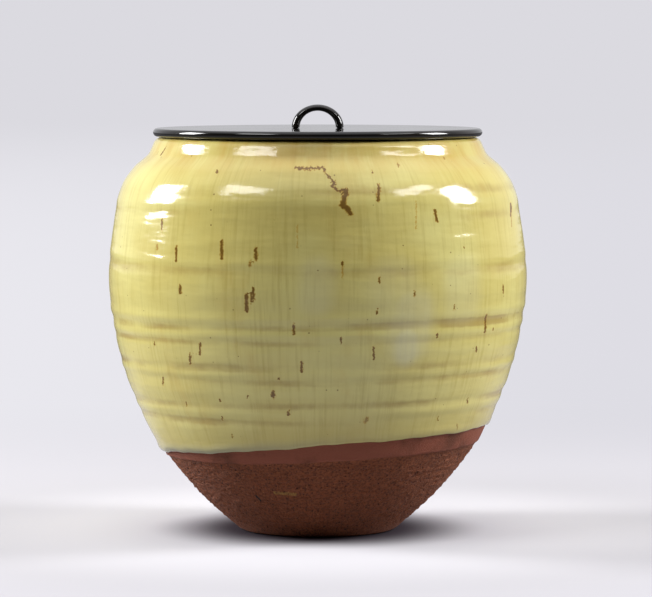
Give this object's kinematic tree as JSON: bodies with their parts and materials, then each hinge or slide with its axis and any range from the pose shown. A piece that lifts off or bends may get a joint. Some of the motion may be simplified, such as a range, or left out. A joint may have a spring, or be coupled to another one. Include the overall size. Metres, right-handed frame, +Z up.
{
  "type": "lidded water jar",
  "caption": "Round-shouldered stoneware water jar on a narrow foot, with ash glaze over bare red clay and a flat black lacquered lid lifted by a small loop.",
  "frame": {"origin": "middle of the foot, on the surface that the jar stands on", "axes": "+Z up through the mouth, -Y towards the front of the jar, +X to the right along the lid's loop"},
  "size_m": [0.1848, 0.1848, 0.188],
  "materials": {
    "clay": "unglazed, fired red-brown stoneware, turned rough on the cone",
    "outer_glaze": "glossy ochre ash glaze with brown streaks",
    "inner_glaze": "glossy ochre glaze",
    "lid_lacquer": "black lacquer over wood, high gloss",
    "loop_lacquer": "black lacquer over wood, high gloss"
  },
  "bodies": {
    "jar": {"clay_body": "clay", "outer_glaze": "outer_glaze", "inner_glaze": "inner_glaze"},
    "lid": {"lid_board": "lid_lacquer", "lid_loop": "loop_lacquer"}
  },
  "joints": [
    {"name": "lid_lift", "type": "slide", "parent": "jar", "child": "lid", "axis": [0, 0, 1], "range_m": [0, 0.12]}
  ]
}
